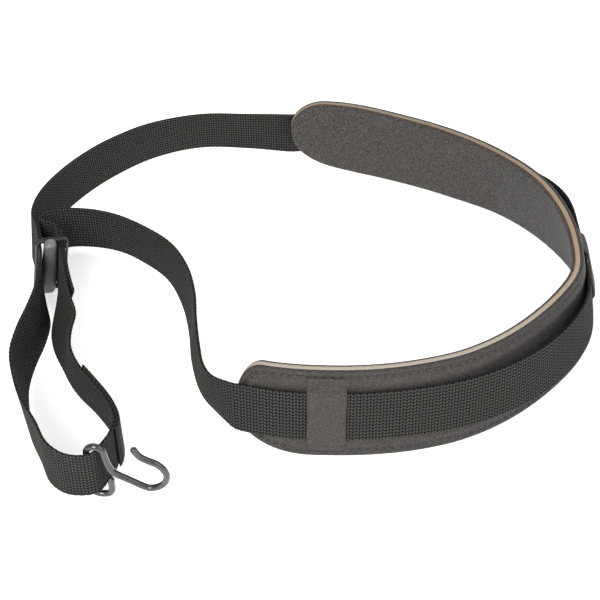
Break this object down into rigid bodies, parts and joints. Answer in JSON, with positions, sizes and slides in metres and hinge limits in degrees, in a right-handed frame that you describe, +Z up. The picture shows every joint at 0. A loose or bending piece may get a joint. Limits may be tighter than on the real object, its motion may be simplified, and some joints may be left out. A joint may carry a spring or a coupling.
{
  "type": "saxophone neck strap",
  "caption": "Padded leather neck strap with a closed loop of webbing, a slide for its length and a bent-wire hook that holds the instrument's ring.",
  "frame": {"origin": "middle of the footprint, on the table the strap stands on", "axes": "+Z up, along the width of the leather pad; +X from the hook's side towards the middle of the neck pad; +Y from the hook towards the far side of the ring"},
  "size_m": [0.2694, 0.2642, 0.0454],
  "materials": {
    "cover_leather": "grained, dull",
    "lining_leather": "grained, dull",
    "core_leather": "raw edge",
    "webbing": "coarse herringbone weave",
    "thread": "twisted thread",
    "plastic": "satin",
    "wire": "glossy black"
  },
  "bodies": {
    "strap": {"pad_lining": "lining_leather", "pad_core": "core_leather", "pad_cover": "cover_leather", "seam_upper": "thread", "seam_lower": "thread", "keeper_far": "cover_leather", "keeper_far_seam_upper": "thread", "keeper_far_seam_lower": "thread", "keeper_centre": "cover_leather", "keeper_centre_seam_upper": "thread", "keeper_centre_seam_lower": "thread", "keeper_near": "cover_leather", "keeper_near_seam_upper": "thread", "keeper_near_seam_lower": "thread", "webbing_pad_far": "webbing", "webbing_pad_near": "webbing", "webbing_far": "webbing", "webbing_near": "webbing", "webbing_loop": "webbing", "webbing_overlap": "webbing", "webbing_tail": "webbing"},
    "slide": {"slide": "plastic"},
    "hook": {"hook": "wire"}
  },
  "joints": [
    {"name": "slide_travel", "type": "slide", "parent": "strap", "child": "slide", "axis": [0.2201, -0.9755, 0], "range_m": [-0.009, 0.004]},
    {"name": "hook_swing", "type": "hinge", "parent": "strap", "child": "hook", "pos_m": [-0.08349, -0.12669, 0.01553], "axis": [0, -0.14, 0.9902], "range_deg": [-55, 5]}
  ]
}
